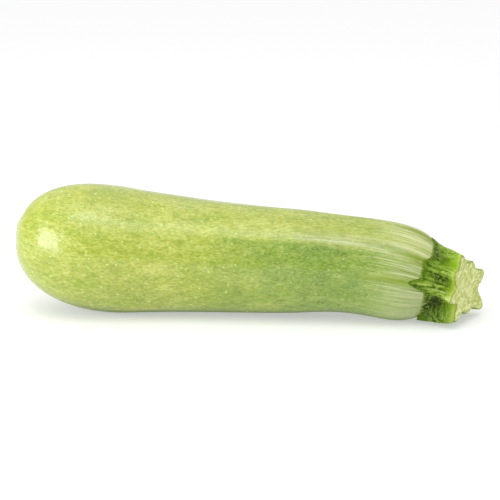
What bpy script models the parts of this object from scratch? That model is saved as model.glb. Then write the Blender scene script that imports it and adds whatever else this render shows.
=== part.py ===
"""A pale green zucchini, as picked, lying on a flat surface with its cut stem at +X.

It is two solids: the club-shaped fruit, with its blossom scar and the soft ridges of its neck,
and the ribbed stem, whose toothed foot lies over the fruit's shoulder. Run it with

    blender --background --python part.py

Units are metres, +Z is up, and the surface that it lies on is z = 0. A place on the fruit is
given by its distance from the blossom tip, and by an angle round the axis: 0 faces -Y and 90 up.
"""

from collections import namedtuple
from math import cos, exp, hypot, pi, radians, sin, tau

import bmesh
import bpy
from mathutils import Vector

MM = 0.001

# The fruit's outline: a blunt blossom end, a body that narrows to a neck, and a shoulder
CAP_LENGTH = 39 * MM
CAP_POWER = 2.3
BODY_RADII = (  # distance from the tip, radius
    (39 * MM, 27.6 * MM),
    (60 * MM, 25.8 * MM),
    (80 * MM, 24.2 * MM),
    (100 * MM, 23.2 * MM),
    (120 * MM, 22.4 * MM),
    (140 * MM, 21.0 * MM),
    (158 * MM, 20.9 * MM),
)
SHOULDER_START = 158 * MM
SHOULDER_LENGTH = 25.0 * MM
SHOULDER_POWER = 2.6
CROWN = 181 * MM  # the flat crown under the stem

# The fruit's axis: it dips towards the stem and bows a little to the side
AXIS_HEIGHTS = (  # distance from the tip, height over the surface
    (0 * MM, 34.3 * MM),
    (35 * MM, 27.7 * MM),
    (70 * MM, 25.5 * MM),
    (105 * MM, 23.9 * MM),
    (140 * MM, 22.9 * MM),
    (160 * MM, 20.6 * MM),
    (182 * MM, 15.7 * MM),
)
BOW = 2.0 * MM

# The blossom scar: a shallow dimple with a low rim
SCAR_RADIUS = 4.2 * MM
SCAR_DEPTH = 1.0 * MM
SCAR_RIM = 0.35 * MM
SCAR_RIM_WIDTH = 1.25 * MM

# Ridges run up the fruit from the ribs of its stem, with flatter sides between them
RIDGE_ON_BODY = 0.30 * MM
RIDGE_ON_SHOULDER = 1.15 * MM
RIDGE_MEAN = 0.37  # the ridges' mean height round the fruit, as a share
RIDGE_WIDTH = radians(10)
RIDGE_ROUNDING = radians(3)
RIDGE_RISE = (80 * MM, 150 * MM)  # where the ridges start to grow and where they are full

# The sides undulate in two waves: height, length along the fruit, turns round it, phase
Wave = namedtuple("Wave", "height length turns phase")
WAVES = (
    Wave(0.22 * MM, 119 * MM, 2, 0.0),
    Wave(0.22 * MM, 195 * MM, -3, 1.0),
)

# The stem: its ribs' angles at the foot and at the cut, their height, their width, the length
# of the tooth that each sends over the shoulder, and its ridge's share of the full height
Rib = namedtuple("Rib", "foot cut height width tooth ridge")
RIBS = (
    Rib(radians(90), radians(75), 5.7 * MM, radians(15), 1.2 * MM, 0.95),
    Rib(radians(39), radians(38), 4.6 * MM, radians(16), 2.0 * MM, 1.0),
    Rib(radians(7), radians(-4), 7.1 * MM, radians(11.5), 6.5 * MM, 0.9),
    Rib(radians(-62), radians(-38), 7.2 * MM, radians(11.5), 0.8 * MM, 0.4),
    Rib(radians(-100), radians(-85), 0.4 * MM, radians(12), 1.0 * MM, 0.2),
    Rib(radians(-138), radians(-142), 8.9 * MM, radians(14.5), 5.0 * MM, 1.0),
    Rib(radians(162), radians(170), 8.0 * MM, radians(14), 5.0 * MM, 1.0),
    Rib(radians(124), radians(126), 2.4 * MM, radians(23), 1.5 * MM, 0.3),
)
TOOTH_WIDTH = radians(6.5)
STEM_FOOT = 176.5 * MM  # where its foot ends on the shoulder between the teeth
WEB_ANGLE = radians(24)  # between two ribs the foot reaches further, as a web
WEB_LENGTH = 3.0 * MM
WEB_WIDTH = radians(15)
FOOT_TILT = 1.2 * MM  # the foot reaches so much further over the top than over the belly
STEM_GAP = 0.3 * MM  # between the faceted foot and the faceted shoulder
FOOT_THICK = (0.7 * MM, 1.9 * MM)  # the foot's height over the skin at its edge and its root
FOOT_FILLET = 0.9 * MM
STEM_START = 176 * MM  # the stem's own axis leaves the fruit's axis here
STEM_FREE = 183.5 * MM  # past here the stem is clear of the fruit, and turns to its cut
CUT_CENTRE = Vector((194.0, -4.5, 14.8)) * MM
CUT_NORMAL = Vector((0.90, -0.43, 0.07)).normalized()
GROOVE_RADII = (10.6 * MM, 10.2 * MM)  # at the foot and at the cut
CUT_LIP = 0.5 * MM
CUT_BEVEL = 0.05  # the lip's slope, as a share of the cut's radius
CUT_DISH = 0.7 * MM

# Facets
FRUIT_SIDES = 56
STEM_SIDES = 96
SCAR_RINGS = 5
SCAR_SPACING = 1.05 * MM
CAP_RINGS = 13
BODY_RINGS = 16
SHOULDER_RINGS = 8
CROWN_RINGS = 2
SOLE_RINGS = 4
FOOT_RINGS = 8
STEM_RINGS = 4
CUT_RINGS = 3

SKIN_GREEN = (0.494, 0.597, 0.142)
SKIN_ROUGHNESS = 0.35
STEM_GREEN = (0.130, 0.235, 0.022)
STEM_ROUGHNESS = 0.55


def through(points, place, level_ends=False):
    """The value at a place on a smooth curve through (place, value) points."""
    places = [p for p, _ in points]
    values = [v for _, v in points]
    last = len(points) - 1

    def slope(i):
        if level_ends and i in (0, last):
            return 0.0
        low, high = max(i - 1, 0), min(i + 1, last)
        return (values[high] - values[low]) / (places[high] - places[low])

    place = min(max(place, places[0]), places[last])
    i = max(k for k in range(last) if places[k] <= place)
    span = places[i + 1] - places[i]
    t = (place - places[i]) / span
    return hermite(
        values[i], slope(i) * span, values[i + 1], slope(i + 1) * span, t
    )


def hermite(start, start_slope, end, end_slope, t):
    """A cubic from start to end, of numbers or vectors, for t from 0 to 1."""
    return (
        start * (2 * t**3 - 3 * t**2 + 1)
        + start_slope * (t**3 - 2 * t**2 + t)
        + end * (3 * t**2 - 2 * t**3)
        + end_slope * (t**3 - t**2)
    )


def ease(low, high, x):
    """0 below low, 1 above high, and smooth between them."""
    t = min(max((x - low) / (high - low), 0.0), 1.0)
    return t * t * (3 - 2 * t)


def bump(angle, centre, width):
    """1 at the centre angle, falling to 0 to both sides of it."""
    away = (angle - centre + pi) % tau - pi
    return exp(-((away / width) ** 2))


def ridge(angle, centre):
    """1 at the centre angle, falling to both sides of it as from a rounded edge."""
    away = (angle - centre + pi) % tau - pi
    return exp((RIDGE_ROUNDING - hypot(away, RIDGE_ROUNDING)) / RIDGE_WIDTH)


def mean_radius(place):
    """The fruit's radius without ridges, at a distance from the blossom tip."""
    if place < CAP_LENGTH:
        left = 1 - place / CAP_LENGTH
        return BODY_RADII[0][1] * (1 - left**CAP_POWER) ** (1 / CAP_POWER)
    if place < SHOULDER_START:
        return through(BODY_RADII, place, level_ends=True)
    along = min((place - SHOULDER_START) / SHOULDER_LENGTH, 1.0)
    return BODY_RADII[-1][1] * (1 - along**SHOULDER_POWER) ** (1 / SHOULDER_POWER)


def relief(place, angle):
    """How far the fruit's side stands out of its mean radius."""
    grown = ease(*RIDGE_RISE, place)
    height = RIDGE_ON_BODY + (RIDGE_ON_SHOULDER - RIDGE_ON_BODY) * grown
    ridges = sum(rib.ridge * ridge(angle, rib.foot) for rib in RIBS) - RIDGE_MEAN
    waves = sum(
        wave.height * sin(tau * place / wave.length + wave.turns * angle + wave.phase)
        for wave in WAVES
    )
    fade = mean_radius(place) / BODY_RADII[0][1]
    return fade * (height * ridges + waves)


def axis_point(place):
    return Vector((place, BOW * sin(pi * place / CROWN), through(AXIS_HEIGHTS, place)))


def axis_frame(place):
    """The axis's direction there, and the directions across it at 0 and at 90 degrees."""
    step = 1 * MM
    along = (axis_point(place + step) - axis_point(place - step)).normalized()
    side = along.cross(Vector((0, 0, 1))).normalized()
    return along, side, side.cross(along)


def scar_inset(radius):
    """How far the blossom tip is pushed in at a radius: a dimple inside a low rim."""
    dimple = SCAR_DEPTH * (1 - ease(0, SCAR_RADIUS, radius))
    rim = SCAR_RIM * exp(-(((radius - SCAR_RADIUS) / SCAR_RIM_WIDTH) ** 2))
    return dimple - rim


def skin(place, angle):
    """A point of the fruit's skin. Its belly is flattened where it would dip below z = 0."""
    along, side, up = axis_frame(place)
    radius = mean_radius(place)
    reach = radius + relief(place, angle)
    point = axis_point(place) + along * scar_inset(radius)
    point += reach * (cos(angle) * side + sin(angle) * up)
    point.z = max(point.z, 0.0)
    return point


def skin_normal(place, angle):
    turn = radians(1)
    step = 0.3 * MM
    across = skin(place, angle + turn) - skin(place, angle - turn)
    along = skin(place + step, angle) - skin(place - step, angle)
    return along.cross(across).normalized()


def angles(sides):
    return [tau * i / sides for i in range(sides)]


def fruit_places():
    """The fruit's rings, from the blossom tip to the crown, close together on the curved ends."""
    widest = BODY_RADII[0][1]
    shares = [SCAR_SPACING * (k + 1) / widest for k in range(SCAR_RINGS)]
    rest = [sin(pi / 2 * k / CAP_RINGS) for k in range(CAP_RINGS)]
    shares += [share for share in rest if share > shares[-1] + SCAR_SPACING / widest]
    cap = [
        CAP_LENGTH * (1 - (1 - share**CAP_POWER) ** (1 / CAP_POWER)) for share in shares
    ]
    body_length = SHOULDER_START - CAP_LENGTH
    body = [CAP_LENGTH + body_length * k / BODY_RINGS for k in range(BODY_RINGS)]
    rest = (CROWN - SHOULDER_START) / SHOULDER_LENGTH
    shoulder = [
        SHOULDER_START + SHOULDER_LENGTH * rest * sin(pi / 2 * k / SHOULDER_RINGS)
        for k in range(SHOULDER_RINGS + 1)
    ]
    return cap + body + shoulder


def stem_axis(place):
    """A point of the stem's axis, and the directions across it at 0 and at 90 degrees."""
    if place <= STEM_START:
        return axis_point(place), *axis_frame(place)[1:]
    start = axis_point(STEM_START)
    along, side, up = axis_frame(STEM_START)
    length = (CUT_CENTRE - start).length
    share = (place - STEM_START) / length
    centre = hermite(start, along * length, CUT_CENTRE, CUT_NORMAL * length, share)
    across = CUT_NORMAL.cross(Vector((0, 0, 1))).normalized()
    turned = max(place - STEM_FREE, 0.0) / (STEM_START + length - STEM_FREE)
    side = side.lerp(across, turned).normalized()
    up = up.lerp(across.cross(CUT_NORMAL), turned).normalized()
    return centre, side, up


def stem_end():
    """The place where the stem's axis reaches the cut."""
    return STEM_START + (CUT_CENTRE - axis_point(STEM_START)).length


def ribbed_radius(place, angle):
    """The stem's own radius, with its ribs, before it spreads into its foot."""
    share = max(place - STEM_START, 0.0) / (stem_end() - STEM_START)
    groove = GROOVE_RADII[0] + (GROOVE_RADII[1] - GROOVE_RADII[0]) * share
    return groove + sum(
        rib.height * bump(angle, rib.foot + (rib.cut - rib.foot) * share, rib.width)
        for rib in RIBS
    )


def stem_point(place, angle, inward=0.0):
    """A point of the stem's outer side, or inward of it by a share of its radius."""
    thick = FOOT_THICK[0] + (FOOT_THICK[1] - FOOT_THICK[0]) * ease(STEM_FOOT, CROWN, place)
    over_skin = mean_radius(place) + relief(place, angle) + thick
    ribbed = ribbed_radius(place, angle)
    reach = (over_skin + ribbed + hypot(over_skin - ribbed, FOOT_FILLET)) / 2
    if place >= STEM_FREE:
        reach = ribbed
    centre, side, up = stem_axis(place)
    return centre + reach * (1 - inward) * (cos(angle) * side + sin(angle) * up)


def foot_place(angle):
    """Where the stem's foot ends on the shoulder: it sends a tooth down each ridge."""
    teeth = sum(rib.tooth * bump(angle, rib.foot, TOOTH_WIDTH) for rib in RIBS)
    web = WEB_LENGTH * bump(angle, WEB_ANGLE, WEB_WIDTH)
    return STEM_FOOT - teeth - web - FOOT_TILT * sin(angle)


def foot_point(angle, share):
    """A point of the stem's outer side from the foot's edge to where the stem is clear."""
    place = foot_place(angle)
    if share == 0:
        return skin(place, angle) + skin_normal(place, angle) * FOOT_THICK[0]
    return stem_point(place + (STEM_FREE - place) * share, angle)


def sole_point(angle, share):
    """A point of the stem's underside, which follows the shoulder from the crown to the edge."""
    place = CROWN + (foot_place(angle) - CROWN) * share
    return skin(place, angle) + skin_normal(place, angle) * STEM_GAP


def crown_point(angle, share):
    """A point of the stem's underside over the flat crown."""
    centre = axis_point(CROWN)
    along = axis_frame(CROWN)[0]
    rim = skin(CROWN, angle) + along * STEM_GAP
    return (centre + along * STEM_GAP).lerp(rim, share)


def lofted(name, rings, colour, roughness):
    """An object whose surface runs through rings of points and is closed by a fan at each end."""
    shape = bmesh.new()
    loops = [[shape.verts.new(point) for point in ring] for ring in rings]
    count = len(loops[0])
    for near, far in zip(loops, loops[1:]):
        for i in range(count):
            j = (i + 1) % count
            shape.faces.new((near[i], near[j], far[j], far[i]))
    for loop in (loops[0], loops[-1]):
        end = shape.faces.new(loop)
        bmesh.ops.poke(shape, faces=[end])
    bmesh.ops.recalc_face_normals(shape, faces=shape.faces)
    mesh = bpy.data.meshes.new(name)
    shape.to_mesh(mesh)
    shape.free()
    mesh.shade_smooth()
    mesh.materials.append(finish(name, colour, roughness))
    made = bpy.data.objects.new(name, mesh)
    bpy.context.scene.collection.objects.link(made)
    return made


def finish(name, colour, roughness):
    material = bpy.data.materials.new(name)
    material.use_nodes = True
    shader = material.node_tree.nodes["Principled BSDF"]
    shader.inputs["Base Color"].default_value = (*colour, 1)
    shader.inputs["Roughness"].default_value = roughness
    shader.inputs["Metallic"].default_value = 0
    return material


def make_fruit():
    rings = [[skin(place, a) for a in angles(FRUIT_SIDES)] for place in fruit_places()]
    return lofted("fruit", rings, SKIN_GREEN, SKIN_ROUGHNESS)


def make_stem():
    """The stem's surface from the middle of its underside, out to its foot and up to the cut."""
    turn = angles(STEM_SIDES)
    end = stem_end()
    crown = [[crown_point(a, (k + 1) / CROWN_RINGS) for a in turn] for k in range(CROWN_RINGS)]
    sole = [[sole_point(a, k / SOLE_RINGS) for a in turn] for k in range(SOLE_RINGS + 1)]
    foot = [[foot_point(a, k / FOOT_RINGS) for a in turn] for k in range(FOOT_RINGS)]
    places = [STEM_FREE + (end - STEM_FREE) * k / STEM_RINGS for k in range(STEM_RINGS)]
    side = [[stem_point(place, a) for a in turn] for place in places]
    lip = [[stem_point(end, a) - CUT_NORMAL * CUT_LIP for a in turn]]
    cut = []
    for k in range(CUT_RINGS):
        inward = CUT_BEVEL + k / CUT_RINGS
        sunk = CUT_DISH * ease(0, 1, inward)
        cut.append([stem_point(end, a, inward) - CUT_NORMAL * sunk for a in turn])
    rings = crown + sole + foot + side + lip + cut
    return lofted("stem", rings, STEM_GREEN, STEM_ROUGHNESS)


def centre_on_origin(objects):
    """Moves the meshes so that the middle of the object's box is over the origin."""
    corners = [vertex.co for made in objects for vertex in made.data.vertices]
    middle = Vector(
        (
            (min(c.x for c in corners) + max(c.x for c in corners)) / 2,
            (min(c.y for c in corners) + max(c.y for c in corners)) / 2,
            min(c.z for c in corners),
        )
    )
    for made in objects:
        for vertex in made.data.vertices:
            vertex.co -= middle


def main():
    for left_over in list(bpy.data.objects):
        bpy.data.objects.remove(left_over)
    centre_on_origin([make_fruit(), make_stem()])


main()
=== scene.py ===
"""Looks of the pale green zucchini: fine skin and stem, their materials, light and camera.

The fine fruit and stem repeat the solids' formulas with many more points. A point on them is
given by its place, the distance in mm from the blossom tip, and by an angle round the axis,
where 0 faces -Y and 90 degrees faces up. Other lengths are in mm too.
"""

import random
from collections import namedtuple
from math import cos, pi, radians, sin, tau

import bpy
import numpy as np
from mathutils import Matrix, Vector, noise


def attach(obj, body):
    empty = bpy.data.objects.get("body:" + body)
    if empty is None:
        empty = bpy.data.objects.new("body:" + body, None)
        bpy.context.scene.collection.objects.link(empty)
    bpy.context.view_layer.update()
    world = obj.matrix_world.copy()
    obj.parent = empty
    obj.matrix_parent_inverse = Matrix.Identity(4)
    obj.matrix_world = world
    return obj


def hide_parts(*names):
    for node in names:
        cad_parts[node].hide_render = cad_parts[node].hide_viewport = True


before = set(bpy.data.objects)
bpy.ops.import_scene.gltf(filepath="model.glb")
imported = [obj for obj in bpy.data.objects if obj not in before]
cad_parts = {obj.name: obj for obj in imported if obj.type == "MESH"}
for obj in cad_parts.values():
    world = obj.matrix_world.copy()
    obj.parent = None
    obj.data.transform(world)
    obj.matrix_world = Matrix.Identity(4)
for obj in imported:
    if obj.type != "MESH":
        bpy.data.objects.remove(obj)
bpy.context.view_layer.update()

MM = 0.001
MIDDLE = np.array((100.263, 1.015, 0))  # of the solids' box, where their origin is

# The fruit's outline and its axis, as in the solids. The tables give a value at each place
CAP_LENGTH = 39
CAP_POWER = 2.3
BODY_RADII = (
    (39, 27.6),
    (60, 25.8),
    (80, 24.2),
    (100, 23.2),
    (120, 22.4),
    (140, 21.0),
    (158, 20.9),
)
SHOULDER_START = 158
SHOULDER_LENGTH = 25.0
SHOULDER_POWER = 2.6
CROWN = 181
AXIS_HEIGHTS = (
    (0, 34.3),
    (35, 27.7),
    (70, 25.5),
    (105, 23.9),
    (140, 22.9),
    (160, 20.6),
    (182, 15.7),
)
BOW = 2.0
SCAR_RADIUS = 4.2
SCAR_DEPTH = 1.0
SCAR_RIM = 0.35
SCAR_RIM_WIDTH = 1.25
RIDGE_ON_BODY = 0.30
RIDGE_ON_SHOULDER = 1.15
RIDGE_MEAN = 0.37
RIDGE_WIDTH = radians(10)
RIDGE_ROUNDING = radians(3)
RIDGE_RISE = (80, 150)

# Uneven growth: waves along the fruit that turn round it
Wave = namedtuple("Wave", "height length turns phase")
WAVES = (Wave(0.22, 119, 2, 0.0), Wave(0.22, 195, -3, 1.0))

# The stem, as in the solids. A rib has an angle at the foot and one at the cut, and its ridge
# is a share of the ridge that carries it on along the fruit
Rib = namedtuple("Rib", "foot cut height width tooth ridge")
RIBS = (
    Rib(radians(90), radians(75), 5.7, radians(15), 1.2, 0.95),
    Rib(radians(39), radians(38), 4.6, radians(16), 2.0, 1.0),
    Rib(radians(7), radians(-4), 7.1, radians(11.5), 6.5, 0.9),
    Rib(radians(-62), radians(-38), 7.2, radians(11.5), 0.8, 0.4),
    Rib(radians(-100), radians(-85), 0.4, radians(12), 1.0, 0.2),
    Rib(radians(-138), radians(-142), 8.9, radians(14.5), 5.0, 1.0),
    Rib(radians(162), radians(170), 8.0, radians(14), 5.0, 1.0),
    Rib(radians(124), radians(126), 2.4, radians(23), 1.5, 0.3),
)
TOOTH_WIDTH = radians(6.5)
STEM_FOOT = 176.5
WEB_ANGLE = radians(24)
WEB_LENGTH = 3.0
WEB_WIDTH = radians(15)
FOOT_TILT = 1.2
FOOT_FILLET = 0.9
STEM_START = 176
STEM_FREE = 183.5
CUT_CENTRE = np.array((194.0, -4.5, 14.8))
CUT_NORMAL = np.array(Vector((0.90, -0.43, 0.07)).normalized())
GROOVE_RADII = (10.6, 10.2)
RIB_TALLEST = 7.2  # the height that counts as a full crest for the colours

# Form that is finer than the solids' facets
EDGE_THICK = 0.12  # the foot's edge lies this far over the skin
FOOT_THICK = (0.5, 1.9)  # over the skin, at STEM_FOOT and at the crown
FOOT_RISE = 4.0  # the foot thickens over this distance from its edge
SOLE_GAP = 0.06  # between the foot's underside and the skin
LINE_RELIEF = 0.16  # lengthwise lines on the stem
LINE_WIDTH = 0.7
LINE_STRETCH = (0.06, 1, 1)
WART_RELIEF = 0.22  # small bumps on the stem
WART_WIDTH = 0.9
WART_STRETCH = (0.8, 1, 1)
WART_ON_TOP = 0.4  # as a share of their height on the lower side
RELIEF_RISE = (0.5, 4)  # from the foot's edge, where lines and bumps begin
LIP = 0.5  # how far the corner round the cut is taken off
DISH = 0.7  # the cut's depth in its middle
PITH_RELIEF = 0.15
PITH_WIDTH = 1.6
PITH_RISE = (0, 0.1)  # a share of the way from the cut's rim to its middle

# Facets of the fruit and the stem
FRUIT_SIDES = 264
CAP_RINGS = 70
BODY_RINGS = 182
SHOULDER_RINGS = 56
STEM_SIDES = 480
SOLE_RINGS = 4
FOOT_RINGS = 54
SIDE_RINGS = 40
FOOT_CROWDING = 1.3  # above 1, the foot's rings stand closer at its edge
CUT_RINGS = 26
CUT_OUTMOST = 0.02  # the outmost of them, as a share of the way to the middle

# Streaks on the fruit that carry on the stem's ribs
Streak = namedtuple("Streak", "angle bend width start strength")
STREAKS = (
    Streak(radians(83), 0, radians(4.5), 159, 1.0),
    Streak(radians(39), radians(3), radians(4.5), 150, 1.0),
    Streak(radians(31), 0, radians(2), 152, 0.7),
    Streak(radians(7), radians(-4.3), radians(4.8), 138, 1.0),
    Streak(radians(-62), 0, radians(5), 150, 0.7),
    Streak(radians(-138), 0, radians(5), 140, 0.9),
    Streak(radians(162), 0, radians(5), 142, 0.9),
)
STREAK_END = 169
STREAK_START_WIDTH = 0.5  # as a share of its width at the end
STREAK_GROWTH = 0.6  # below 1, a streak gains its strength early

# Bands of waxy bloom and painted sheen along the fruit
WaxAndSheen = namedtuple("WaxAndSheen", "angle width strength rise fall weaker")
WAX_AND_SHEEN_BANDS = (
    WaxAndSheen(radians(43), radians(7), 0.85, (112, 134), (160, 170), 0.0),
    WaxAndSheen(radians(96), radians(8), 0.7, (70, 85), (155, 165), 0.7),
)
WAX_AND_SHEEN_WEAKENS = (110, 150)

# The neck's greener lower side, with painted shade: under a line sharp on the side of the
# camera
UNDER_LINE = 0.57
UNDER_BLEND_NEAR = 0.04
UNDER_BLEND_FAR = 0.3
UNDER_RISE = (62, 138)
UNDER_WEAKENS = (142, 165)
UNDER_WEAKER = 0.4

# Where other colours and marks of the fruit and the stem begin and end, and the radii of the
# straight drums that carry the patterns
NECK_RISE = (80, 150)
PALE_RISE = (151, 170)
LINES_RISE = (140, 170)
LINES_BELOW = (0.02, 0.16)
LINES_WEAKER_BELOW = 0.55
SCAR_FADE = (0.75, 1.15)  # as shares of its radius
LOW_SIDE = (0.2, -0.9)  # sines of angles round the stem
FUZZ_SIDE = (0.8, 0.97)
FUZZ_RISE = (1, 5)
# The brightest rib near the cut, which is lit with painted light
LIT_FACET_RISE = (0.05, 0.45)  # shares of the stem's length, along its brightest rib
LIT_FACET_ANGLE = radians(60)
LIT_FACET_WIDTH = radians(18)
FRUIT_DRUM = 24.0
STEM_DRUM = 14.0

# The stem's hairs
HAIRS = 1800
HAIR_SEED = 7
HAIR_MARGIN = 0.8  # from the foot's edge and from the cut
HAIRS_ON_TOP = 0.35  # for every one on the lower side
HAIR_LENGTH = (0.4, 1.1)
HAIR_RADIUS = (0.05, 0.08)
HAIR_LEAN = (-0.3, 0.7)  # towards the cut
HAIR_SPREAD = 0.35
HAIR_SUNK = 0.15  # how deep its root lies in the stem

# Small steps between neighbouring points, which give the directions of a surface
AXIS_STEP = 1.0
SKIN_STEP = 0.3
SKIN_TURN = radians(1)
STEM_STEP = 0.2
STEM_TURN = 0.02

# The camera, in mm and degrees
TARGET = np.array((0.737, -1.015, 28.37))
AZIMUTH = 5.4
ELEVATION = 15
DISTANCE = 760
LENS = 127.5
SENSOR = 36

# Lights. A direction is given along the camera's right, up and back
Light = namedtuple("Light", "name direction distance width height radiance")
LIGHTS = (
    Light("top_light", (0.05, 0.76, 0.65), 900, 900, 400, 1.5),
    Light("bulb_light", (-0.25, 0.87, 0.43), 900, 220, 380, 3.0),
    Light("left_light", (-0.86, 0.08, 0.5), 720, 410, 440, 5.6),
)
Glow = namedtuple("Glow", "axis strength power")
SKY_EVEN = 0.45
SKY_GLOWS = (Glow("Z", 0.74, 2.0), Glow("Y", 0.5, 3.0))
FLOOR_HALF = 4000
FLOOR_GREY = 0.6
FLOOR_GLOW = 0.42


def along_last(*parts):
    return np.stack(np.broadcast_arrays(*parts), axis=-1)


def unit(vectors):
    return vectors / np.linalg.norm(vectors, axis=-1, keepdims=True)


def hermite(start, start_slope, end, end_slope, t):
    """A cubic curve from start at t = 0 to end at t = 1, with a slope at each."""
    return (
        start * (2 * t**3 - 3 * t**2 + 1)
        + start_slope * (t**3 - 2 * t**2 + t)
        + end * (3 * t**2 - 2 * t**3)
        + end_slope * (t**3 - t**2)
    )


def through(points, place, level_ends=False):
    """The value at each place on a smooth curve through (place, value) points."""
    knots, values = np.array(points, dtype=float).T
    last = len(knots) - 1
    index = np.arange(last + 1)
    low, high = np.maximum(index - 1, 0), np.minimum(index + 1, last)
    slopes = (values[high] - values[low]) / (knots[high] - knots[low])
    if level_ends:
        slopes[[0, last]] = 0
    place = np.clip(place, knots[0], knots[last])
    i = np.clip(np.searchsorted(knots, place, side="right") - 1, 0, last - 1)
    span = knots[i + 1] - knots[i]
    t = (place - knots[i]) / span
    return hermite(values[i], slopes[i] * span, values[i + 1], slopes[i + 1] * span, t)


def ease(low, high, x):
    """0 below low, 1 above high, and smooth between them."""
    t = np.clip((x - low) / (high - low), 0, 1)
    return t * t * (3 - 2 * t)


def bump(angle, centre, width):
    """1 at the centre angle, falling softly to both sides of it."""
    away = (angle - centre + pi) % tau - pi
    return np.exp(-((away / width) ** 2))


def ridge(angle, centre):
    """1 at the centre angle, falling to both sides of it as from a rounded edge."""
    away = (angle - centre + pi) % tau - pi
    return np.exp((RIDGE_ROUNDING - np.hypot(away, RIDGE_ROUNDING)) / RIDGE_WIDTH)


def mean_radius(place):
    """The fruit's radius without its ridges and waves."""
    place = np.asarray(place, dtype=float)
    left = np.clip(1 - place / CAP_LENGTH, 0, 1)
    cap = BODY_RADII[0][1] * (1 - left**CAP_POWER) ** (1 / CAP_POWER)
    body = through(BODY_RADII, place, level_ends=True)
    along = np.clip((place - SHOULDER_START) / SHOULDER_LENGTH, 0, 1)
    shoulder = BODY_RADII[-1][1] * (1 - along**SHOULDER_POWER) ** (1 / SHOULDER_POWER)
    return np.where(
        place < CAP_LENGTH, cap, np.where(place < SHOULDER_START, body, shoulder)
    )


def relief(place, angle):
    """How far ridges and waves lift the skin over its mean radius."""
    grown = ease(*RIDGE_RISE, place)
    height = RIDGE_ON_BODY + (RIDGE_ON_SHOULDER - RIDGE_ON_BODY) * grown
    ridges = sum(rib.ridge * ridge(angle, rib.foot) for rib in RIBS) - RIDGE_MEAN
    waves = sum(
        wave.height * np.sin(tau * place / wave.length + wave.turns * angle + wave.phase)
        for wave in WAVES
    )
    fade = mean_radius(place) / BODY_RADII[0][1]
    return fade * (height * ridges + waves)


def axis_point(place):
    """The point at each place on the fruit's axis, which bows a little to one side."""
    sideways = BOW * np.sin(pi * place / CROWN)
    return along_last(place, sideways, through(AXIS_HEIGHTS, place))


def axis_frame(place):
    """The directions along the fruit's axis, level to the camera's side of it, and up."""
    along = unit(axis_point(place + AXIS_STEP) - axis_point(place - AXIS_STEP))
    side = unit(np.cross(along, (0, 0, 1)))
    return along, side, np.cross(side, along)


def scar_inset(radius):
    """How far the scar's dimple sinks in along the axis. Its rim stands out instead."""
    dimple = SCAR_DEPTH * (1 - ease(0, SCAR_RADIUS, radius))
    rim = SCAR_RIM * np.exp(-(((radius - SCAR_RADIUS) / SCAR_RIM_WIDTH) ** 2))
    return dimple - rim


def spoke(side, up, angle):
    """The direction across the axis at an angle."""
    return np.cos(angle)[..., None] * side + np.sin(angle)[..., None] * up


def skin(place, angle):
    """Points on the fruit, which is flat where it lies on the surface."""
    place, angle = np.broadcast_arrays(np.asarray(place, dtype=float), angle)
    along, side, up = axis_frame(place)
    radius = mean_radius(place)
    point = axis_point(place) + along * scar_inset(radius)[..., None]
    point = point + (radius + relief(place, angle))[..., None] * spoke(side, up, angle)
    point[..., 2] = np.maximum(point[..., 2], 0)
    return point


def skin_normal(place, angle):
    across = skin(place, angle + SKIN_TURN) - skin(place, angle - SKIN_TURN)
    along = skin(place + SKIN_STEP, angle) - skin(place - SKIN_STEP, angle)
    return unit(np.cross(along, across))


def stem_length():
    """The straight distance from the stem's start to the middle of its cut."""
    return np.linalg.norm(CUT_CENTRE - axis_point(STEM_START))


def stem_axis(place):
    """The axis at each place, and the side and up directions across it.

    It is the fruit's axis up to STEM_START. From there it bends to meet the cut squarely, and
    from STEM_FREE on the directions across it turn with it.
    """
    place = np.asarray(place, dtype=float)
    start = axis_point(STEM_START)
    along, start_side, start_up = axis_frame(STEM_START)
    length = stem_length()
    share = np.maximum(place - STEM_START, 0)[..., None] / length
    bent = hermite(start, along * length, CUT_CENTRE, CUT_NORMAL * length, share)
    turned = np.maximum(place - STEM_FREE, 0) / (STEM_START + length - STEM_FREE)
    turned = turned[..., None]
    cut_side = unit(np.cross(CUT_NORMAL, (0, 0, 1)))
    cut_up = np.cross(cut_side, CUT_NORMAL)
    bent_side = unit(start_side * (1 - turned) + cut_side * turned)
    bent_up = unit(start_up * (1 - turned) + cut_up * turned)

    fruit_side, fruit_up = axis_frame(place)[1:]
    on_fruit = (place <= STEM_START)[..., None]
    centre = np.where(on_fruit, axis_point(place), bent)
    side = np.where(on_fruit, fruit_side, bent_side)
    up = np.where(on_fruit, fruit_up, bent_up)
    return centre, side, up


def ribs_there(place, angle):
    """The ribs' height over the grooves."""
    share = np.maximum(place - STEM_START, 0) / stem_length()
    return sum(
        rib.height * bump(angle, rib.foot + (rib.cut - rib.foot) * share, rib.width)
        for rib in RIBS
    )


def ribbed_radius(place, angle):
    """The stem's radius above its foot: the grooves' radius and the ribs on it."""
    share = np.maximum(place - STEM_START, 0) / stem_length()
    groove = GROOVE_RADII[0] + (GROOVE_RADII[1] - GROOVE_RADII[0]) * share
    return groove + ribs_there(place, angle)


def foot_place(angle):
    """The place of the toothed edge of the stem's foot."""
    teeth = sum(rib.tooth * bump(angle, rib.foot, TOOTH_WIDTH) for rib in RIBS)
    web = WEB_LENGTH * bump(angle, WEB_ANGLE, WEB_WIDTH)
    return STEM_FOOT - teeth - web - FOOT_TILT * np.sin(angle)


def foot_thickness(place, angle):
    """How far the foot's outside lies over the skin."""
    risen = ease(0, FOOT_RISE, place - foot_place(angle))
    swell = (FOOT_THICK[1] - FOOT_THICK[0]) * ease(STEM_FOOT, CROWN, place)
    return EDGE_THICK + (FOOT_THICK[0] - EDGE_THICK) * risen + swell


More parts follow.
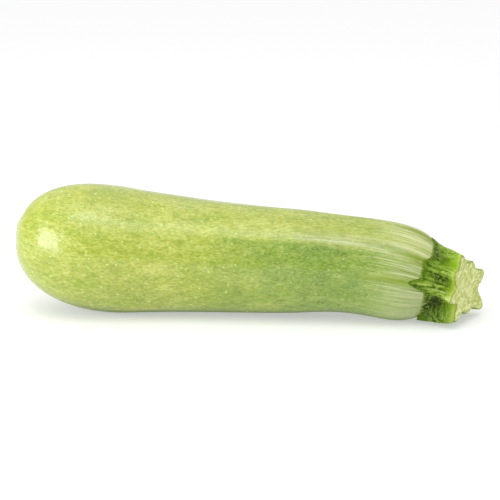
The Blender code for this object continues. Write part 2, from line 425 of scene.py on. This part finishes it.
def stem_point(place, angle, inward=0.0):
    """Points on the stem, where inward is a share of the way to its axis.

    The foot follows the skin, and a fillet joins it to the ribbed stem.
    """
    place, angle = np.broadcast_arrays(np.asarray(place, dtype=float), angle)
    over_skin = mean_radius(place) + relief(place, angle) + foot_thickness(place, angle)
    ribbed = ribbed_radius(place, angle)
    reach = (over_skin + ribbed + np.hypot(over_skin - ribbed, FOOT_FILLET)) / 2
    reach = np.where(place >= STEM_FREE, ribbed, reach)
    centre, side, up = stem_axis(place)
    return centre + (reach * (1 - inward))[..., None] * spoke(side, up, angle)


def fractal(points, size):
    """Smooth noise of about -1 to 1 at each point, for features of a size in mm."""
    flat = points.reshape(-1, 3) / size
    drawn = [noise.noise(Vector(point)) for point in flat]
    return np.array(drawn).reshape(points.shape[:-1])


def unrolled(place, angle, radius):
    """Points of a straight drum, on which a pattern isn't bent by the axis."""
    place, angle = np.broadcast_arrays(np.asarray(place, dtype=float), angle)
    return along_last(place, radius * np.cos(angle), radius * np.sin(angle))


def link(name, data):
    """A new object of the scene that holds the data."""
    made = bpy.data.objects.new(name, data)
    bpy.context.scene.collection.objects.link(made)
    return made


def make_object(name, rings, materials, indices=None, **attributes):
    """A mesh object through rings of points, with a fan of faces at each end.

    The indices give the material of each band of faces between two rings.
    """
    grid = np.array(rings) - MIDDLE
    count, sides = grid.shape[:2]
    ends = grid[[0, -1]].mean(axis=1)
    points = np.concatenate([grid.reshape(-1, 3), ends]) * MM
    ring = np.arange(sides)
    after = (ring + 1) % sides
    faces = []
    for k in range(count - 1):
        near, far = k * sides, (k + 1) * sides
        faces += np.stack([near + ring, far + ring, far + after, near + after], 1).tolist()
    first, last = count * sides, count * sides + 1
    top = (count - 1) * sides
    faces += np.stack([ring, after, np.full(sides, first)], 1).tolist()
    faces += np.stack([top + after, top + ring, np.full(sides, last)], 1).tolist()
    mesh = bpy.data.meshes.new(name)
    mesh.from_pydata(points.tolist(), [], faces)
    mesh.shade_smooth()
    for key, values in attributes.items():
        flat = np.array(values, dtype=float).reshape(count * sides, -1)
        flat = np.concatenate([flat, flat[:1], flat[-1:]])
        vector = flat.shape[1] == 3
        kind = "FLOAT_VECTOR" if vector else "FLOAT"
        layer = mesh.attributes.new(key, kind, "POINT")
        layer.data.foreach_set("vector" if vector else "value", flat.ravel())
    for material in materials:
        mesh.materials.append(material)
    if indices is not None:
        each = np.repeat(indices, sides).tolist()
        each += [indices[0]] * sides + [indices[-1]] * sides
        mesh.polygons.foreach_set("material_index", each)
    return link(name, mesh)


class Painter:
    """Adds shader nodes to the tree of a material or world, and links them."""

    def __init__(self, owner, shader="Principled BSDF"):
        owner.use_nodes = True
        self.tree = owner.node_tree
        self.shader = self.tree.nodes[shader]

    def set(self, node, key, value):
        if isinstance(value, bpy.types.NodeSocket):
            self.tree.links.new(value, node.inputs[key])
        else:
            node.inputs[key].default_value = value

    def add(self, kind, inputs, output=0, **settings):
        """A new node's output. An input is a value, or an output that is linked to it."""
        node = self.tree.nodes.new("ShaderNode" + kind)
        for key, value in settings.items():
            setattr(node, key, value)
        for key, value in inputs.items():
            self.set(node, key, value)
        return node.outputs[output]

    def set_shader(self, inputs):
        for key, value in inputs.items():
            self.set(self.shader, key, value)

    def attribute(self, name, vector=False):
        output = "Vector" if vector else "Fac"
        return self.add("Attribute", {}, output, attribute_name=name)

    def where(self):
        """The place on the object, in mm."""
        place = self.add("TexCoord", {}, "Object")
        return self.add("VectorMath", {0: place, "Scale": 1 / MM}, operation="SCALE")

    def math(self, operation, *values):
        return self.add("Math", dict(enumerate(values)), operation=operation)

    def product(self, first, *others):
        for other in others:
            first = self.math("MULTIPLY", first, other)
        return first

    def step(self, value, low, high, to_low=0.0, to_high=1.0):
        """to_low where the value is low, to_high where it is high, and smooth between them."""
        inputs = {
            "Value": value,
            "From Min": low,
            "From Max": high,
            "To Min": to_low,
            "To Max": to_high,
        }
        return self.add("MapRange", inputs, interpolation_type="SMOOTHSTEP")

    def mix(self, share, low, high):
        """A colour from low to high. The inputs 6 and 7 of this node take colours."""
        return self.add("Mix", {0: share, 6: low, 7: high}, 2, data_type="RGBA")

    def stretch(self, vector, scale):
        return self.add("Mapping", {"Vector": vector, "Scale": scale})

    def noise(self, vector, size, detail=2.0, roughness=0.5):
        inputs = {
            "Vector": vector,
            "Scale": 1 / size,
            "Detail": detail,
            "Roughness": roughness,
        }
        return self.add("TexNoise", inputs)

    def cells(self, vector, size):
        """The distance from the middle of the nearest cell, as a share of its size."""
        return self.add("TexVoronoi", {"Vector": vector, "Scale": 1 / size}, "Distance")

    def bump(self, height, distance, normal=None):
        inputs = {"Height": height, "Distance": distance * MM, "Strength": 1.0}
        if normal is not None:
            inputs["Normal"] = normal
        return self.add("Bump", inputs)


def colour(red, green, blue):
    """A colour given as 0 to 255 values of an sRGB picture, as linear RGBA."""
    shares = np.array((red, green, blue)) / 255
    linear = np.where(shares < 0.04045, shares / 12.92, ((shares + 0.055) / 1.055) ** 2.4)
    return (*linear.tolist(), 1.0)


# The skin's colours. The second of a pair is for the neck's greener side, which carries
# painted shade
BULB = colour(178, 187, 75)
NECK = colour(166, 178, 70)
GREENER_SHADED_SIDE = colour(106, 139, 26)
DOWNWARD_SHADE = colour(82, 116, 4)
BELLY_SHADOW = colour(72, 102, 0)
CLOUD = colour(156, 174, 50)
SUNNY = colour(188, 194, 54)
DARK_BAND = colour(136, 164, 30)
LIGHT_BAND = colour(200, 208, 116)
DARK_MOTTLE = colour(124, 149, 35), colour(76, 108, 6)
COARSE_MOTTLE = colour(198, 206, 110), colour(146, 174, 82)
FINE_MOTTLE = colour(210, 217, 128), colour(168, 192, 104)
GRAIN = colour(156, 182, 98)
WHITISH = colour(193, 202, 128), colour(148, 166, 114)
DARK_LINE = colour(112, 138, 18)
PALE_LINE = colour(214, 221, 162)
WAX_AND_SHEEN = colour(156, 168, 112)
BROKEN_WAX_AND_SHEEN = colour(192, 200, 154)
OLIVE = colour(124, 148, 0)
DOT = colour(220, 228, 150), colour(196, 212, 130)
CORK_DARK = colour(150, 130, 82)
CORK_LIGHT = colour(206, 192, 140)

# Pale dots in two sizes, with their radius as a share of their spacing
Dots = namedtuple("Dots", "spacing radius on_bulb on_neck")
SKIN_DOTS = (Dots(4.0, 0.16, 0.7, 0.42), Dots(2.5, 0.2, 0.5, 0.3))
DOT_CORE = 0.35  # the share of a dot's radius that has its full colour


def skin_material():
    material = bpy.data.materials.new("zucchini_skin")
    paint = Painter(material)
    where = paint.where()
    straight = paint.attribute("straight", vector=True)
    height = paint.attribute("height")
    neck = paint.attribute("neck")
    under = paint.attribute("under")
    near_stem = paint.attribute("near_stem")
    wax = paint.attribute("wax")

    # From the yellow-green bulb to the greener neck, greenest on its lower side, which carries
    # painted shade
    ground = paint.mix(neck, BULB, NECK)
    ground = paint.mix(under, ground, GREENER_SHADED_SIDE)
    # Painted shade on skin that faces down
    ground = paint.mix(paint.step(height, 0.3, -0.9, to_high=0.3), ground, DOWNWARD_SHADE)
    clouds = paint.noise(where, size=14, detail=3)
    ground = paint.mix(paint.step(clouds, 0.35, 0.65, to_high=0.3), ground, CLOUD)
    sunny = paint.step(paint.noise(where, size=22), 0.5, 0.68)
    sunny = paint.product(sunny, paint.step(neck, 0, 1, 0.5, 0.1))
    ground = paint.mix(sunny, ground, SUNNY)

    # Soft bands along the fruit
    bands = paint.noise(paint.stretch(straight, (0.28, 1, 1)), size=5.5, detail=3)
    ground = paint.mix(paint.step(bands, 0.5, 0.34, to_high=0.4), ground, DARK_BAND)
    ground = paint.mix(paint.step(bands, 0.52, 0.68, to_high=0.35), ground, LIGHT_BAND)

    # Mottling in three sizes, longer along the fruit than across it
    vector = paint.stretch(straight, (0.45, 1, 1))
    coarse = paint.noise(vector, size=2.3, detail=3, roughness=0.6)
    vector = paint.stretch(straight, (0.4, 1, 1))
    mottle = paint.noise(vector, size=0.7, detail=3, roughness=0.6)
    grain = paint.noise(paint.stretch(straight, (0.5, 1, 1)), size=0.5)
    shade = paint.mix(under, *DARK_MOTTLE)
    ground = paint.mix(paint.step(coarse, 0.5, 0.3, to_high=0.48), ground, shade)
    tint = paint.mix(under, *COARSE_MOTTLE)
    ground = paint.mix(paint.step(coarse, 0.52, 0.7, to_high=0.4), ground, tint)
    ground = paint.mix(paint.step(mottle, 0.52, 0.34, to_high=0.58), ground, shade)
    fleck = paint.mix(under, *FINE_MOTTLE)
    ground = paint.mix(paint.step(mottle, 0.52, 0.7, to_high=0.48), ground, fleck)
    grain = paint.product(paint.step(grain, 0.45, 0.6), paint.step(under, 0, 1, 0, 0.45))
    ground = paint.mix(grain, ground, GRAIN)

    # Whitish areas near the stem, and lines that run together there
    fine = paint.stretch(straight, (0.04, 1, 1))
    lines = paint.noise(fine, size=0.8, roughness=0.6)
    whitish = paint.mix(under, *WHITISH)
    ground = paint.mix(paint.product(paint.attribute("pale"), 0.85), ground, whitish)
    dark_line = paint.product(paint.step(lines, 0.47, 0.33), near_stem, 0.95)
    ground = paint.mix(dark_line, ground, DARK_LINE)
    pale_line = paint.product(paint.step(lines, 0.5, 0.64), near_stem, 0.75)
    ground = paint.mix(pale_line, ground, PALE_LINE)

    # Painted contact shadow along the belly, which is also made rougher
    shaded_belly = paint.step(height, -0.74, -0.96, to_high=0.85)
    ground = paint.mix(shaded_belly, ground, BELLY_SHADOW)

    # Bands of waxy bloom and painted sheen, and olive streaks that carry on the stem's ribs
    ground = paint.mix(paint.product(wax, 0.5), ground, WAX_AND_SHEEN)
    broken = paint.step(paint.noise(fine, size=0.8, detail=3), 0.44, 0.6)
    ground = paint.mix(paint.product(wax, broken), ground, BROKEN_WAX_AND_SHEEN)
    ragged = paint.step(paint.noise(fine, size=1.6), 0.25, 0.6, 0.85, 1.0)
    streak = paint.product(paint.attribute("streak"), ragged)
    ground = paint.mix(streak, ground, OLIVE)

    pip = paint.mix(under, *DOT)
    for dots in SKIN_DOTS:
        away = paint.cells(where, dots.spacing)
        dot = paint.step(away, dots.radius, dots.radius * DOT_CORE)
        dot = paint.product(dot, paint.step(neck, 0.1, 0.9, dots.on_bulb, dots.on_neck))
        ground = paint.mix(dot, ground, pip)

    # The dry blossom scar
    cork = paint.mix(paint.noise(where, size=0.8, detail=3), CORK_DARK, CORK_LIGHT)
    ground = paint.mix(paint.attribute("scar"), ground, cork)

    roughness = paint.step(mottle, 0.3, 0.7, 0.17, 0.27)
    normal = paint.bump(mottle, 0.06)
    normal = paint.bump(paint.product(lines, near_stem), 0.16, normal)
    normal = paint.bump(paint.noise(where, size=4), 0.3, normal)
    paint.set_shader(
        {
            "Base Color": ground,
            "Roughness": paint.math("ADD", roughness, paint.product(shaded_belly, 0.4)),
            "Specular IOR Level": 0.75,
            "Normal": normal,
        }
    )
    return material


# The stem's colours
GROOVE = colour(24, 46, 0)
CREST = colour(120, 154, 18)
PATCH = colour(118, 158, 6)
TOWARDS_CUT = colour(130, 166, 6)
LIT_FACET_GREEN = colour(150, 190, 8)
AT_CUT = colour(182, 202, 84)
FURROW = colour(38, 62, 2)
THREAD = colour(196, 214, 122)
SUNK_LINE = colour(36, 58, 2)
SPECKLE = colour(160, 188, 96)
FUZZ = colour(172, 192, 112)
WART = colour(156, 184, 84)
PIT = colour(40, 62, 4)
LOW_SHADE = colour(48, 74, 8)
FOOT_BORDER = colour(62, 92, 4)
FRINGE_IN_GROOVE = colour(146, 166, 74)
FRINGE_ON_CREST = colour(84, 114, 6)


def stem_material():
    material = bpy.data.materials.new("zucchini_stem")
    paint = Painter(material)
    straight = paint.attribute("straight", vector=True)
    crest = paint.attribute("crest")
    edge = paint.attribute("edge")
    to_cut = paint.attribute("to_cut")
    line = paint.attribute("line")
    wart = paint.attribute("wart")
    young = paint.attribute("young")
    low = paint.attribute("low")

    # Dark grooves and lighter ribs, both lighter towards the cut, and painted light on the
    # brightest rib
    ground = paint.mix(paint.step(crest, 0.0, 0.5), GROOVE, CREST)
    patches = paint.step(paint.noise(straight, size=3.5), 0.42, 0.6)
    patches = paint.product(patches, paint.step(crest, 0.1, 0.6, 0.15, 0.8))
    ground = paint.mix(patches, ground, PATCH)
    ground = paint.mix(paint.step(to_cut, 11.5, 4.5, to_high=0.88), ground, TOWARDS_CUT)
    # Painted light on the brightest rib near the cut
    ground = paint.mix(paint.product(young, 0.9), ground, LIT_FACET_GREEN)
    ground = paint.mix(paint.step(to_cut, 5.5, 1.2, to_high=0.95), ground, AT_CUT)

    # Pale threads on the ribs, and dark furrows that end towards the cut
    vector = paint.stretch(straight, (0.04, 1, 1))
    threads = paint.noise(vector, size=0.55, roughness=0.6)
    deep = paint.step(to_cut, 4.0, 10.5, 0.12, 1.0)
    deep = paint.product(deep, paint.step(young, 0, 1, 1, 0.35))
    furrow = paint.product(paint.step(threads, 0.48, 0.36, to_high=0.9), deep)
    ground = paint.mix(furrow, ground, FURROW)
    pale = paint.product(
        paint.step(threads, 0.48, 0.6),
        paint.step(crest, 0.3, 0.8, 0.1, 0.85),
        paint.step(low, 0, 1, 1, 0.3),
        paint.step(edge, 1.0, 6.5, 0.15, 1),
    )
    ground = paint.mix(pale, ground, THREAD)
    sunk = paint.product(paint.step(line, -0.05, -0.4, to_high=0.6), deep)
    ground = paint.mix(sunk, ground, SUNK_LINE)

    # Pale speckles low down, fuzz on top, and small bumps and pits
    speckle = paint.product(
        paint.step(paint.noise(straight, size=0.8), 0.5, 0.62),
        paint.step(low, 0, 1, 0.15, 0.85),
        paint.step(crest, 0.05, 0.35, 0.1, 1),
    )
    ground = paint.mix(speckle, ground, SPECKLE)
    fuzz = paint.step(paint.noise(straight, size=0.9), 0.4, 0.6, to_high=0.6)
    ground = paint.mix(paint.product(fuzz, paint.attribute("high")), ground, FUZZ)
    ground = paint.mix(paint.step(wart, 0.16, 0.4, to_high=0.5), ground, WART)
    pit = paint.product(paint.step(wart, -0.14, -0.4, to_high=0.5), deep)
    ground = paint.mix(pit, ground, PIT)
    ground = paint.mix(paint.step(low, 0.6, 1, to_high=0.45), ground, LOW_SHADE)

    # The foot is darker near its edge. The edge is ragged and as pale as the skin round it
    border = paint.step(edge, 5.0, 0.8, to_high=0.6)
    border = paint.product(border, paint.step(crest, 0, 0.4, 0.35, 1))
    ground = paint.mix(border, ground, FOOT_BORDER)
    worn = paint.math("ADD", edge, paint.step(threads, 0.3, 0.7, -0.9, 0.9))
    fringe = paint.mix(paint.step(crest, 0.4, 0.8), FRINGE_IN_GROOVE, FRINGE_ON_CREST)
    ground = paint.mix(paint.step(worn, 0.8, 0.0), ground, fringe)

    normal = paint.bump(threads, 0.22)
    paint.set_shader(
        {
            "Base Color": ground,
            "Roughness": paint.step(threads, 0.3, 0.7, 0.45, 0.65),
            "Specular IOR Level": 0.12,
            "Normal": paint.bump(paint.noise(straight, size=0.5), 0.12, normal),
        }
    )
    return material


# The cut face's colours
CUT_DARK = colour(178, 193, 88)
CUT_LIGHT = colour(238, 240, 168)
BLOTCH = colour(178, 194, 84)
BUNDLE = colour(150, 172, 60)
PITH = colour(212, 214, 140)
CUT_RIM = colour(128, 150, 72)


def cut_material():
    material = bpy.data.materials.new("zucchini_stem_cut")
    paint = Painter(material)
    where = paint.where()
    inward = paint.attribute("inward")

    across = paint.stretch(where, (1, 0.45, 1))
    soft = paint.noise(across, size=1.3, detail=3, roughness=0.65)
    ground = paint.mix(paint.step(soft, 0.38, 0.6), CUT_DARK, CUT_LIGHT)
    blotch = paint.step(paint.noise(across, size=3, detail=3), 0.42, 0.62, to_high=0.5)
    ground = paint.mix(blotch, ground, BLOTCH)

    # Dark dots in a ring round the pale pith, and a darker, wavy rim
    bundle = paint.product(
        paint.step(paint.cells(where, 2.2), 0.34, 0.12),
        paint.step(inward, 0.08, 0.2),
        paint.step(inward, 0.6, 0.4, to_high=0.5),
    )
    ground = paint.mix(bundle, ground, BUNDLE)
    ground = paint.mix(paint.step(inward, 0.45, 0.9, to_high=0.4), ground, PITH)
    wavy = paint.math("ADD", inward, paint.step(soft, 0, 1, -0.03, 0.03))
    ground = paint.mix(paint.step(wavy, 0.09, 0.01, to_high=0.5), ground, CUT_RIM)

    paint.set_shader(
        {
            "Base Color": ground,
            "Roughness": paint.step(soft, 0.3, 0.7, 0.5, 0.65),
            "Normal": paint.bump(paint.noise(where, size=0.7), 0.1),
        }
    )
    return material


HAIR_DARK = colour(176, 194, 96)
HAIR_LIGHT = colour(214, 224, 150)


def hair_material():
    material = bpy.data.materials.new("zucchini_hair")
    paint = Painter(material)
    tint = paint.noise(paint.where(), size=3, detail=1)
    ground = paint.mix(tint, HAIR_DARK, HAIR_LIGHT)
    paint.set_shader({"Base Color": ground, "Roughness": 0.5})
    return material


def streaks_there(place, angle):
    """How strongly each point shows one of the streaks, which widen towards the stem."""
    strongest = np.zeros_like(place)
    for streak in STREAKS:
        share = np.clip((place - streak.start) / (STREAK_END - streak.start), 0, 1)
        centre = streak.angle + streak.bend * (1 - share)
        widened = STREAK_START_WIDTH + (1 - STREAK_START_WIDTH) * share
        shown = streak.strength * ease(0, 1, share) ** STREAK_GROWTH
        shown = shown * bump(angle, centre, streak.width * widened)
        strongest = np.maximum(strongest, shown)
    return strongest


def wax_there(place, angle):
    """How strongly each point shows one of the bands of waxy bloom and painted sheen."""
    strongest = np.zeros_like(place)
    for band in WAX_AND_SHEEN_BANDS:
        run = ease(*band.rise, place) * (1 - ease(*band.fall, place))
        run = run * (1 - band.weaker * ease(*WAX_AND_SHEEN_WEAKENS, place))
        shown = band.strength * bump(angle, band.angle, band.width) * run
        strongest = np.maximum(strongest, shown)
    return strongest


def under_there(place, angle):
    """How strongly each point shows the greener lower side of the neck, partly its own green
    and partly painted shade.
    """
    blend = np.where(np.cos(angle) > 0, UNDER_BLEND_NEAR, UNDER_BLEND_FAR)
    below = 1 - ease(UNDER_LINE - blend, UNDER_LINE + blend, np.sin(angle))
    return below * ease(*UNDER_RISE, place) * (1 - UNDER_WEAKER * ease(*UNDER_WEAKENS, place))


def make_fruit():
    """The fine fruit, with the places of its colours as attributes."""
    shares = np.sin(pi / 2 * np.arange(1, CAP_RINGS) / CAP_RINGS)
    cap = CAP_LENGTH * (1 - (1 - shares**CAP_POWER) ** (1 / CAP_POWER))
    body = np.linspace(CAP_LENGTH, SHOULDER_START, BODY_RINGS, endpoint=False)
    steps = np.sin(pi / 2 * np.arange(SHOULDER_RINGS + 1) / SHOULDER_RINGS)
    shoulder = SHOULDER_START + (CROWN - SHOULDER_START) * steps
    place = np.concatenate([cap, body, shoulder])[:, None]
    angle = (tau * np.arange(FRUIT_SIDES) / FRUIT_SIDES)[None, :]
    point = skin(place, angle)
    place, angle = np.broadcast_arrays(place, angle)

    streak = streaks_there(place, angle)
    calm = 1 - LINES_WEAKER_BELOW * ease(*LINES_BELOW, -np.sin(angle))
    scar = 1 - ease(*SCAR_FADE, mean_radius(place) / SCAR_RADIUS)
    made = make_object(
        "zucchini_fruit",
        point,
        [skin_material()],
        straight=unrolled(place, angle, FRUIT_DRUM),
        neck=ease(*NECK_RISE, place),
        height=skin_normal(place, angle)[..., 2],
        under=under_there(place, angle),
        wax=wax_there(place, angle),
        near_stem=ease(*LINES_RISE, place) * calm,
        pale=ease(*PALE_RISE, place) * (1 - streak),
        streak=streak,
        scar=scar * (place < CAP_LENGTH),
    )
    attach(made, "root")
    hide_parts("fruit")


def make_stem():
    """The fine stem, from the middle of its underside out to its foot and up to the cut."""
    angle = tau * np.arange(STEM_SIDES) / STEM_SIDES
    end = STEM_START + stem_length()
    edge = foot_place(angle)
    rings, places, inwards = [], [], []

    def ring(points, place, inward=0.0):
        rings.append(points)
        places.append(np.broadcast_to(place, angle.shape))
        inwards.append(np.full(angle.shape, inward))

    along = axis_frame(CROWN)[0]
    rim = skin(CROWN, angle) + along * SOLE_GAP
    middle = axis_point(CROWN) + along * SOLE_GAP
    for share in (0.5, 1.0):
        ring(middle + (rim - middle) * share, CROWN)
    for k in range(SOLE_RINGS + 1):
        place = CROWN + (edge - CROWN) * k / SOLE_RINGS
        ring(skin(place, angle) + skin_normal(place, angle) * SOLE_GAP, place)
    ring(skin(edge, angle) + skin_normal(edge, angle) * EDGE_THICK, edge)
    for k in range(1, FOOT_RINGS):
        place = edge + (STEM_FREE - edge) * (k / FOOT_RINGS) ** FOOT_CROWDING
        ring(stem_point(place, angle), place)
    for k in range(SIDE_RINGS):
        place = STEM_FREE + (end - STEM_FREE) * k / SIDE_RINGS
        ring(stem_point(place, angle), place)
    ring(stem_point(end, angle) - CUT_NORMAL * LIP, end - LIP)
    outer = len(rings)
    for k in range(CUT_RINGS):
        inward = CUT_OUTMOST + (1 - 2 * CUT_OUTMOST) * k / CUT_RINGS
        sunk = DISH * ease(0, 1, inward)
        ring(stem_point(end, angle, inward) - CUT_NORMAL * sunk, end, inward)

    point = np.array(rings)
    place = np.array(places)
    inward = np.array(inwards)
    angle = np.broadcast_to(angle, place.shape)
    from_edge = place - foot_place(angle)
    ring_index = np.arange(len(rings))[:, None]

    # Fine relief: lengthwise lines and small bumps outside, and pith on the cut
    drum = unrolled(place, angle, STEM_DRUM)
    line = fractal(drum * LINE_STRETCH, LINE_WIDTH)
    wart = fractal(drum * WART_STRETCH, WART_WIDTH)
    low = ease(*LOW_SIDE, np.sin(angle))
    warts = WART_RELIEF * wart * (WART_ON_TOP + (1 - WART_ON_TOP) * low)
    raised = LINE_RELIEF * line + warts
    raised = raised * ease(*RELIEF_RISE, from_edge) * (ring_index < outer - 1)
    point = point + unit(point - stem_axis(place)[0]) * raised[..., None]
    pith = fractal(point, PITH_WIDTH) * ease(*PITH_RISE, inward) * (ring_index >= outer)
    point = point - CUT_NORMAL * (PITH_RELIEF * pith)[..., None]

    share = (place - STEM_START) / stem_length()
    # Where light is painted on the brightest rib, which gets no fuzz
    young = ease(*LIT_FACET_RISE, share) * bump(angle, LIT_FACET_ANGLE, LIT_FACET_WIDTH)
    high = ease(*FUZZ_SIDE, np.sin(angle)) * ease(*FUZZ_RISE, from_edge) * (1 - young)
    made = make_object(
        "zucchini_stem",
        point,
        [stem_material(), cut_material()],
        [0] * (outer - 1) + [1] * (len(rings) - outer),
        straight=drum,
        crest=ribs_there(place, angle) / RIB_TALLEST,
        edge=from_edge,
        to_cut=end - place,
        line=line,
        wart=wart,
        low=low,
        young=young,
        high=high,
        inward=inward,
    )
    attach(made, "root")
    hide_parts("stem")


def make_hairs():
    """Short stiff hairs on the stem, each a closed, three-sided spike."""
    draw = random.Random(HAIR_SEED)
    end = STEM_START + stem_length()
    points, faces = [], []
    while len(faces) < 4 * HAIRS:
        angle = draw.uniform(0, tau)
        edge = float(foot_place(np.array(angle)))
        place = draw.uniform(edge + HAIR_MARGIN, end - HAIR_MARGIN)
        low = 0.5 - 0.5 * sin(angle)
        if draw.random() > HAIRS_ON_TOP + (1 - HAIRS_ON_TOP) * low:
            continue
        root = stem_point(place, angle)
        along = unit(stem_point(place + STEM_STEP, angle) - root)
        across = unit(stem_point(place, angle + STEM_TURN) - root)
        out = unit(np.cross(along, across))
        lean = along * draw.uniform(*HAIR_LEAN) + across * draw.gauss(0, HAIR_SPREAD)
        tip = root + unit(out + lean) * draw.uniform(*HAIR_LENGTH)
        thick = draw.uniform(*HAIR_RADIUS)
        a, b, c, top = range(len(points), len(points) + 4)
        for turn in (0, tau / 3, 2 * tau / 3):
            aside = cos(turn) * across + sin(turn) * along
            points.append(root - out * HAIR_SUNK + thick * aside)
        points.append(tip)
        faces += [(a, b, c), (b, a, top), (c, b, top), (a, c, top)]
    mesh = bpy.data.meshes.new("zucchini_hairs")
    mesh.from_pydata(((np.array(points) - MIDDLE) * MM).tolist(), [], faces)
    mesh.materials.append(hair_material())
    made = link("zucchini_hairs", mesh)
    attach(made, "root")


def camera_axes():
    """The camera's right, up and back directions."""
    round_z, up = radians(AZIMUTH), radians(ELEVATION)
    back = np.array((sin(round_z) * cos(up), -cos(round_z) * cos(up), sin(up)))
    right = np.array((cos(round_z), sin(round_z), 0))
    return right, np.cross(back, right), back


def aim(made, towards):
    """Points an object's -Z at a place in mm, with its X level."""
    direction = Vector(towards * MM) - made.location
    made.rotation_euler = direction.to_track_quat("-Z", "Y").to_euler()


def make_camera():
    camera = bpy.data.cameras.new("camera")
    camera.lens = LENS
    camera.sensor_width = SENSOR
    made = link("camera", camera)
    made.location = (TARGET + camera_axes()[2] * DISTANCE) * MM
    aim(made, TARGET)
    bpy.context.scene.camera = made
    bpy.context.scene.view_settings.view_transform = "Standard"


def make_light(light):
    """A soft rectangle of light that faces the object."""
    lamp = bpy.data.lights.new(light.name, "AREA")
    lamp.shape = "RECTANGLE"
    lamp.size, lamp.size_y = light.width * MM, light.height * MM
    lamp.energy = light.radiance * pi * lamp.size * lamp.size_y
    made = link(light.name, lamp)
    towards = unit(np.array(light.direction) @ np.array(camera_axes()))
    made.location = (TARGET + towards * light.distance) * MM
    aim(made, TARGET)


def make_sky():
    """An even white light, stronger from above and from behind the object."""
    world = bpy.data.worlds.new("studio")
    paint = Painter(world, "Background")
    direction = paint.add("TexCoord", {}, "Generated")
    strength = SKY_EVEN
    for glow in SKY_GLOWS:
        facing = paint.add("SeparateXYZ", {0: direction}, glow.axis)
        facing = paint.math("POWER", paint.math("MAXIMUM", facing, 0.0), glow.power)
        strength = paint.math("MULTIPLY_ADD", facing, glow.strength, strength)
    paint.set_shader({"Strength": strength, "Color": (1, 1, 1, 1)})
    bpy.context.scene.world = world


def make_floor():
    half = FLOOR_HALF * MM
    mesh = bpy.data.meshes.new("floor")
    corners = [(-half, -half, 0), (half, -half, 0), (half, half, 0), (-half, half, 0)]
    mesh.from_pydata(corners, [], [(0, 1, 2, 3)])
    material = bpy.data.materials.new("floor")
    Painter(material).set_shader(
        {
            "Base Color": (FLOOR_GREY, FLOOR_GREY, FLOOR_GREY, 1),
            "Emission Color": (1, 1, 1, 1),
            "Emission Strength": FLOOR_GLOW,
            "Roughness": 0.9,
            "Specular IOR Level": 0.0,
        }
    )
    mesh.materials.append(material)
    floor = link("floor", mesh)


make_fruit()
make_stem()
make_hairs()
make_camera()
make_sky()
make_floor()
for light in LIGHTS:
    make_light(light)
